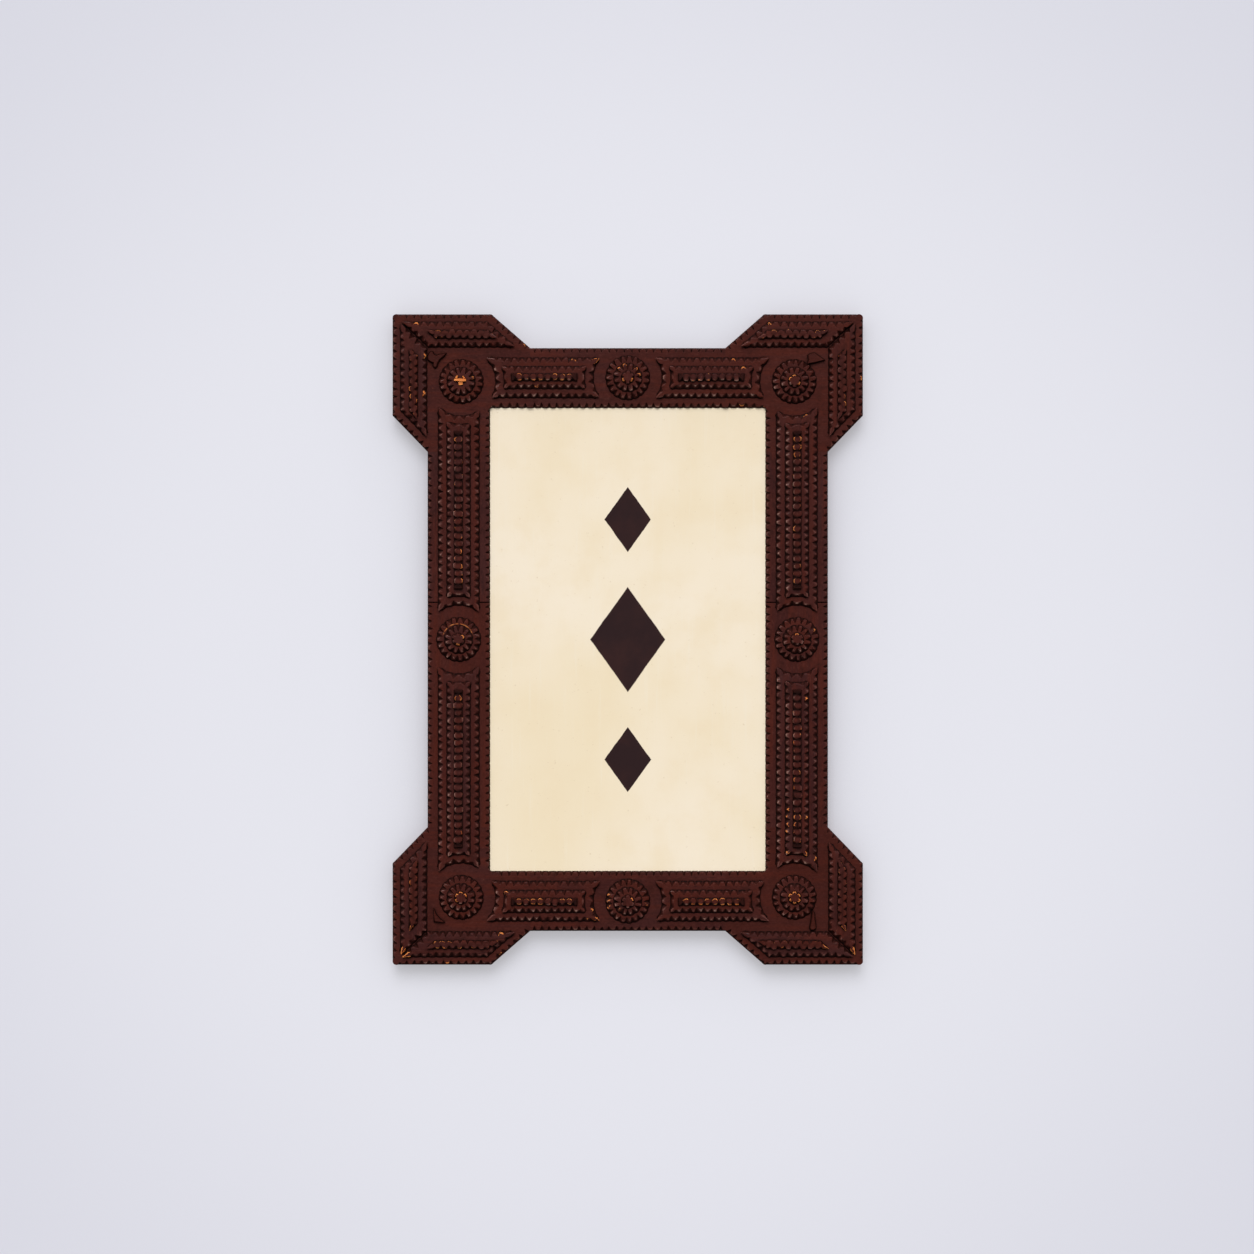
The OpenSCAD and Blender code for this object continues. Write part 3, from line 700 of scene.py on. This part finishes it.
# Ears
# On each ear two slats meet on a notched mitre, each with a short ridge strip, and a small hollow-sided
# leaf fills the corner of the frame. Three of the leaves have been broken, turned or whittled down.
ear_ridge_knife = Knife(core=0.25, rough=1.4, blunt=0.6, widen=0.2, deep=1.25, slope=0.6, grime=0.4,
                        rubbed_by=0.6, flecked=0.36)
leaf_knife = Knife(soft=0.9, grime=0.3)
chevron_wear = spots(0.0, (-169.4, 253.5, 3, 0.6), (-162, 226, 3.4, 0.9), (-162, 196, 3.4, 0.8),
                     (-163, 170, 4, 0.9), (111.4, 254, 3.5, 0.8), (-179, -252, 5, 1.0),
                     (-100, -235, 5, 0.8), (180, -248.4, 4, 0.8))
ear_ridge_wear = spots(0.0, (-155.4, 248, 3.5, 1.0), (-149.4, 248, 3.5, 1.0), (-175.5, 197, 4, 1.0),
                       (-168.6, 188.4, 3.5, 1.0), (114.6, 248, 3.5, 0.8), (152, 247.6, 3.5, 1.0),
                       (171.4, 238.4, 4, 0.8), (171.4, 222.4, 4, 0.8), (171.7, 195.6, 4, 0.8),
                       (177, 190.8, 4, 0.8), (119.4, -246, 3.5, 0.9), (161, -246, 4.5, 0.8),
                       (174.6, -233, 4, 0.9), (169, -183, 4, 0.8), (-148, -243, 7, 0.8),
                       (-136.6, -246, 3.5, 0.9), (-124, -246, 3.5, 0.8), (-174.6, -233, 4.5, 0.9),
                       (-175.5, -196, 3.5, 0.9))
for corner, grime in CORNER_GRIME.items():
    chevron_knife = Knife(rubbed_by=0.55, chipped=1.4, grime=grime)
    carve("ear_chevron_" + corner, carved_finish, "carved_wood", chevron_knife, wear=chevron_wear)
carve("ear_ridge_strips", carved_finish, "carved_wood", ear_ridge_knife, wear=ear_ridge_wear)


def leaf(points):
    """What is left of a corner's leaf, in mm: all but the whole one at the lower left have changed."""
    x, z = points[0]
    if z > 0 and x < 0:
        left = ((-144.4, 229.0), (-146.4, 225.6), (-149.4, 223.2), (-151.2, 220.4), (-151.9, 217.6),
                (-153.2, 216.3), (-155.0, 216.6), (-156.0, 218.2), (-155.8, 220.4), (-157.6, 221.2),
                (-159.8, 222.6), (-160.4, 225.0), (-159.4, 228.4), (-157.4, 230.6), (-155.2, 230.2),
                (-154.2, 227.8), (-152.6, 227.2), (-151.0, 228.2))
    elif z > 0:
        left = ((142.6, 219.4), (149.4, 220.4), (158.0, 223.0), (154.2, 226.0), (149.4, 229.4),
                (146.0, 228.8), (143.2, 227.2), (143.8, 223.2))
    elif x > 0:
        left = ((147.0, -215.8), (148.8, -216.8), (149.8, -219.0), (150.0, -223.6), (150.8, -228.0),
                (150.8, -231.0), (148.6, -232.6), (145.8, -232.4), (144.6, -230.2), (145.8, -225.0),
                (146.4, -219.6))
    else:
        return points
    outline = [Vector(place) * millimetre for place in left]
    turned = sum(cross(outline[i - 1], outline[i]) for i in range(len(outline))) < 0
    return outline[::-1] if turned else outline


carve("corner_leaves", carved_finish, "carved_wood", leaf_knife, along="x", shape=leaf)

# Rosettes
# Eight of them, each a stack of three scalloped discs. The little top disc has been knocked most, and
# its tongues are worn to bare wood on nearly every one.
disc_knife = Knife(deep=1.6, rubbed_by=0.8)
top_disc_knife = Knife(core=0.3, rough=1.5, blunt=0.6, widen=0.2, deep=1.12, slope=0.6, polish=1.2,
                       chipped=2.0)
left_disc_line = (-135.5, 0.4, 12.2)
scribed_finish = shellac("shellac_scribed", srgb(68, 27, 21), srgb(96, 55, 48), 0.4, left_disc_line)
disc_wear = spots(0.02)
bottom_disc_wear = spots(0.02, (-16, -209, 9, 0.6))
middle_wear = spots(0.02, (-6, 218, 5, 0.8), (9, 215, 5, 0.9), (-7, -214, 5, 0.8))
top_wear = spots(0.1, (132, -206, 8, 1.0), (-132, -206, 8, 0.8), (132, 206, 8, 0.7), (-134, 0, 8, 0.5),
                 (136, 2, 5, 0.7), (0, -206, 8, 0.4))
for corner in CORNERS:
    carve("rosette_" + corner, carved_finish, "carved_wood", disc_knife, wear=spots(0.01), along="x")
for place, finish, wear in (("top", carved_finish, disc_wear), ("bottom", carved_finish, bottom_disc_wear),
                            ("left", scribed_finish, disc_wear), ("right", carved_finish, disc_wear)):
    carve("rosette_" + place, finish, "carved_wood", disc_knife, wear=wear, along="x")
carve("rosette_middle_discs", carved_finish, "carved_wood", disc_knife, wear=middle_wear, along="x")


def whole_disc(points):
    """The top disc of the upper left rosette is broken away."""
    lost = all(x < -100 * millimetre and z > 100 * millimetre for x, z in points)
    return None if lost else points


# What is left of that disc, in mm and degrees: a bar, a stub below it and two chips above
SPLINTERS = (
    # right of the centre, above it, width, height, thickness, turn
    (0.2, 0.3, 9.2, 2.6, 1.9, 2),
    (0.5, -2.3, 3.2, 3.2, 1.2, -4),
    (-2.6, 2.7, 1.2, 2.8, 1.3, 28),
    (3.0, 2.5, 1.1, 2.5, 1.3, -35),
)


def splinters(bm, draw):
    """Puts the splinters of bare wood in the broken disc's place."""
    centre_x, centre_z, seat = -133.8, 206.6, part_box("rosette_top_discs")[1].y / millimetre
    sunk_in, pinched, all_bare = 0.05, 0.35, 2.0
    bare = bm.verts.layers.float["bare"]
    grain = bm.verts.layers.float_vector["grain"]
    for right, above, width, height, thick, turn in SPLINTERS:
        others = len(bm.verts)
        chip = bmesh.ops.create_cube(bm, size=1.0)["verts"]
        edges = list({edge for vert in chip for edge in vert.link_edges})
        bmesh.ops.subdivide_edges(bm, edges=edges, cuts=2, use_grid_fill=True)
        chip = list(bm.verts)[others:]
        bmesh.ops.scale(bm, vec=Vector((width, thick, height)) * millimetre, verts=chip)
        for vert in chip:
            narrowed = 1 - pinched * abs(vert.co.x) / (0.5 * width * millimetre)
            vert.co.z = vert.co.z * narrowed + draw.uniform(-0.22, 0.22) * millimetre
            vert.co.x += draw.uniform(-0.3, 0.3) * millimetre
            vert.co.y += draw.uniform(-0.2, 0.2) * millimetre
            vert[bare] = all_bare
        bmesh.ops.rotate(bm, verts=chip, cent=(0, 0, 0), matrix=Matrix.Rotation(math.radians(turn), 3, "Y"))
        middle = Vector((centre_x + right, seat - 0.5 * thick + sunk_in, centre_z + above))
        bmesh.ops.translate(bm, verts=chip, vec=middle * millimetre)
        for vert in chip:
            vert[grain] = vert.co


carve("rosette_top_discs", carved_finish, "carved_wood", top_disc_knife, wear=top_wear, along="z",
      shape=whole_disc, add=splinters)


# Pine backing and ear blocks
# Sawn softwood, half-lapped and nailed. The back was never finished and has darkened with age, and the
# shellac of the front runs over the outer edges.
def softwood(name, upright, pale, dark, stain_from=None, stain_to=None):
    """Bare softwood, stained in front of a depth if one is given. Scales of noise are per metre."""
    wood = Finish(name)
    place = wood.place()
    across, along = (190, 14) if upright else (14, 190)
    rings = wood.noise(wood.scaled(place, (across, 120, along)), 1.0, 3.0, 0.6)
    fibre = wood.noise(wood.scaled(place, (across * 7, 900, along * 7)), 1.0, 3.0, 0.6)
    age = wood.noise(place, 9.0, 4.0, 0.6)
    dirt = wood.noise(place, 60.0, 3.0, 0.6)
    colour = wood.mix(rings.rising(0.35, 0.68), pale, dark)
    colour = wood.mix(fibre.rising(0.5, 0.75) * 0.45, colour, srgb(96, 62, 40))
    colour = wood.mix(age.rising(0.4, 0.75) * 0.5, colour, srgb(86, 58, 42))
    colour = wood.mix(dirt.rising(0.62, 0.75) * 0.5, colour, srgb(52, 34, 26))
    rough = 0.72 + fibre * 0.2
    if stain_from is not None:
        uneven = (rings - 0.5) * (4 * millimetre) + (dirt - 0.5) * (3 * millimetre)
        stained = 1.0 - (wood.part(place, "Y") + uneven).rising(stain_from, stain_to)
        colour = wood.mix(stained, colour, srgb(58, 29, 24))
        rough = rough - stained * 0.3
    normal = wood.bump(rings * 0.4 + fibre * 0.6, 0.4 * millimetre, 0.6)
    return wood.set(Base_Color=colour, Roughness=rough, Normal=normal, Specular_IOR_Level=0.1)


back_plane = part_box("backing_rail_top")[1].y
edge_stain = (back_plane - 2.2 * millimetre, back_plane - 0.4 * millimetre)
pine_pale, pine_dark = srgb(176, 134, 92), srgb(134, 92, 58)
pine_level = softwood("pine_level", False, pine_pale, pine_dark, *edge_stain)
pine_upright = softwood("pine_upright", True, pine_pale, pine_dark, *edge_stain)


def eased(node, name, finish, round_off, shortest=0.0, body="frame"):
    """Stands a copy in for a node, with its sharp edges rounded off by so many mm, apart from those
    shorter than shortest. The faces between them stay flat."""
    bm = solid_copy(node)
    sharp = [e for e in bm.edges if len(e.link_faces) == 2 and e.is_convex
             and e.calc_face_angle(0) > math.radians(50) and e.calc_length() > shortest * millimetre]
    rounds = bmesh.ops.bevel(bm, geom=sharp, offset=round_off * millimetre, offset_type="OFFSET",
                             segments=2, profile=0.5, affect="EDGES", clamp_overlap=True,
                             material=-1)["faces"]
    bm.faces.index_update()
    flat = [face.index for face in bm.faces if face not in rounds]
    return finish_piece(bm, node, name, finish, body, flat)


for rail in RAILS:
    eased("backing_rail_" + rail, "pine_rail_" + rail, pine_level, 0.5, shortest=4)
for stile in STILES:
    eased("backing_stile_" + stile, "pine_stile_" + stile, pine_upright, 0.5, shortest=4)
for corner in CORNERS:
    eased("ear_block_" + corner, "pine_ear_" + corner, pine_level, 0.5, shortest=4)


# Backboard
# A thin sawn softwood board that closes the recess. It lies loose behind the painted board, and the
# turn buttons hold it in.
def dressed(node, finish):
    """Gives a node's own solid its finish."""
    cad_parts[node].data.materials.clear()
    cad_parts[node].data.materials.append(finish)


dressed("backboard", softwood("backboard_wood", True, srgb(168, 126, 88), srgb(138, 98, 66)))

# Painted board
# A thin board with a matt cream ground, brushed on in long strokes and mottled with age. Three plain
# dark brown lozenges stand in a column on it.
LOZENGES = (
    # height of the centre, half width and half height, in mm
    (0, 30, 42),
    (96, 18.6, 26),
    (-96, 18.6, 26),
)


def painted_ground():
    paint = Finish("painted_board")
    place = paint.place()
    mottle = paint.noise(place, 26.0, 4.0, 0.6)
    cloud = paint.noise(place, 6.0, 3.0, 0.5)
    strokes = paint.noise(paint.scaled(place, (420, 420, 16)), 1.0, 3.0, 0.6)
    specks = paint.noise(place, 420.0, 2.0, 0.5)
    colour = paint.mix(cloud.rising(0.35, 0.7), srgb(248, 234, 211), srgb(243, 226, 194))
    colour = paint.mix(mottle.rising(0.4, 0.75) * 0.5, colour, srgb(241, 222, 188))
    colour = paint.mix(strokes.rising(0.55, 0.8) * 0.25, colour, srgb(247, 237, 219))
    colour = paint.mix(specks.rising(0.7, 0.78) * 0.3, colour, srgb(204, 178, 140))
    across = paint.part(place, "X")
    upward = paint.part(place, "Z")
    waver = (mottle - 0.5) * (1.6 * millimetre) + (strokes - 0.5) * (0.8 * millimetre)
    painted = None
    for lozenge in LOZENGES:
        centre, half_wide, half_tall = (size * millimetre for size in lozenge)
        reach = abs(across) / half_wide + abs(upward - centre) / half_tall
        inside = 1.0 - (reach + waver / half_wide).rising(0.985, 1.015)
        painted = inside if painted is None else painted.higher_of(inside)
    brown = paint.mix(mottle.rising(0.4, 0.7), srgb(46, 30, 31), srgb(55, 34, 33))
    colour = paint.mix(painted, colour, brown)
    rough = 0.62 + mottle * 0.15 - painted * 0.12
    normal = paint.bump(strokes * 0.5 + painted * 0.8 + specks * 0.2, 0.25 * millimetre, 0.5)
    return paint.set(Base_Color=colour, Roughness=rough, Normal=normal, Specular_IOR_Level=0.06)


dressed("insert_board", painted_ground())


# Hardware on the back
# A folded brass strap with its wire ring, brass turn buttons, and steel screws and nails, all dulled
# with age.
def aged_metal(name, bright, dull, metallic, rough_low):
    metal = Finish(name)
    place = metal.place()
    tarnish = metal.noise(place, 180.0, 4.0, 0.6)
    scratches = metal.noise(metal.scaled(place, (2400, 900, 2400)), 1.0, 2.0, 0.5)
    amount = tarnish.rising(0.35, 0.7)
    colour = metal.mix(amount, bright, dull)
    rough = rough_low + amount * 0.3 + scratches * 0.12
    normal = metal.bump(tarnish * 0.6 + scratches * 0.4, 0.06 * millimetre, 0.5)
    return metal.set(Base_Color=colour, Roughness=rough, Normal=normal, Metallic=metallic - amount * 0.35)


brass = aged_metal("aged_brass", srgb(196, 160, 92), srgb(112, 84, 48), 1.0, 0.28)
steel = aged_metal("dulled_steel", srgb(150, 146, 140), srgb(92, 78, 66), 1.0, 0.3)
rust = aged_metal("rusted_nails", srgb(96, 72, 56), srgb(74, 42, 28), 0.7, 0.5)
eased("hanger_strap", "hanger_strap_metal", brass, 0.2)
eased("hanger_ring", "hanger_ring_metal", brass, 0.2, body="hanger_ring")
for place in ("upper_left", "upper_right", "lower_left", "lower_right"):
    button = "turn_button_" + place
    eased(button, button + "_metal", brass, 0.2, body=button)
eased("back_screws", "back_screws_metal", steel, 0.2)
eased("lap_nails", "lap_nails_metal", rust, 0.1)

# Wall
# A plain pale wall just behind the frame, with a glow of its own. A painted shadow darkens it close to
# the frame, more beside the stiles, and it darkens a little further out as painted falloff of the light.
# It is seen only from the front, so that the back of the frame shows from behind.
wall_gap = 0.4 * millimetre
wall_half = 6.0
bm = bmesh.new()
bmesh.ops.create_grid(bm, x_segments=1, y_segments=1, size=wall_half)
bmesh.ops.rotate(bm, verts=bm.verts, cent=(0, 0, 0), matrix=Matrix.Rotation(math.radians(90), 3, "X"))
bmesh.ops.translate(bm, verts=bm.verts, vec=(0, cad_box[1][1] + wall_gap, 0))
wall_mesh = bpy.data.meshes.new("wall")
bm.to_mesh(wall_mesh)
bm.free()
wall = bpy.data.objects.new("wall", wall_mesh)
bpy.context.scene.collection.objects.link(wall)
wall_finish = Finish("wall_paint")
wall_place = wall_finish.place()
# Painted falloff: the wall grows darker away from the middle; painted shadow: darker near the frame
far_out = wall_finish.vector_maths("LENGTH", wall_place, out="Value").rising(0.3, 0.8)
beside_stiles = 1.0 - abs(wall_finish.part(wall_place, "Z")).rising(0.12, 0.22)
shade = wall_finish.hollow(70 * millimetre) * (0.52 + beside_stiles * 0.34)
glow = wall_finish.mix(far_out, srgb(188, 188, 192), srgb(181, 181, 186))
glow = wall_finish.mix(shade, glow, srgb(104, 100, 106))
wall_colour = wall_finish.mix(far_out, srgb(144, 144, 152), srgb(129, 129, 140))
wall_colour = wall_finish.mix(shade, wall_colour, srgb(120, 116, 122))
wall_finish.set(Base_Color=wall_colour, Roughness=0.9, Emission_Color=glow, Emission_Strength=1.0)
behind = wall_finish.node("ShaderNodeNewGeometry", {}, out="Backfacing")
clear = wall_finish.node("ShaderNodeBsdfTransparent", {})
seen = wall_finish.node("ShaderNodeMixShader", {}, behind, wall_finish.surface, clear)
wall_finish.put(wall_finish.output.inputs["Surface"], seen)
wall_mesh.materials.append(wall_finish.material)
wall.visible_shadow = False
wall.visible_diffuse = False
wall.visible_glossy = False

# Light
# Soft daylight from all round, brighter from above, and a broad lamp above and in front of the frame,
# so that the cuts cast soft shadows downwards.
world = bpy.data.worlds.new("daylight")
world.use_nodes = True
bpy.context.scene.world = world
sky = Nodes(world.node_tree)
direction = sky.node("ShaderNodeTexCoord", {}, out="Generated")
height = sky.node("ShaderNodeSeparateXYZ", {}, direction, out="Z")
brightness = sky.node("ShaderNodeMapRange", {"interpolation_type": "SMOOTHSTEP"},
                      height, -0.25, 0.8, 0.18, 1.1)
daylight = world.node_tree.nodes["Background"]
sky.put(daylight.inputs["Color"], (0.96, 0.97, 1.0, 1.0))
sky.put(daylight.inputs["Strength"], brightness)
lamp_data = bpy.data.lights.new("lamp", "SUN")
lamp_data.angle = math.radians(36)
lamp_data.energy = 2.05
lamp = bpy.data.objects.new("lamp", lamp_data)
lamp.rotation_euler = (math.radians(52), 0, math.radians(-3))
bpy.context.scene.collection.objects.link(lamp)
bpy.context.scene.view_settings.view_transform = "Standard"
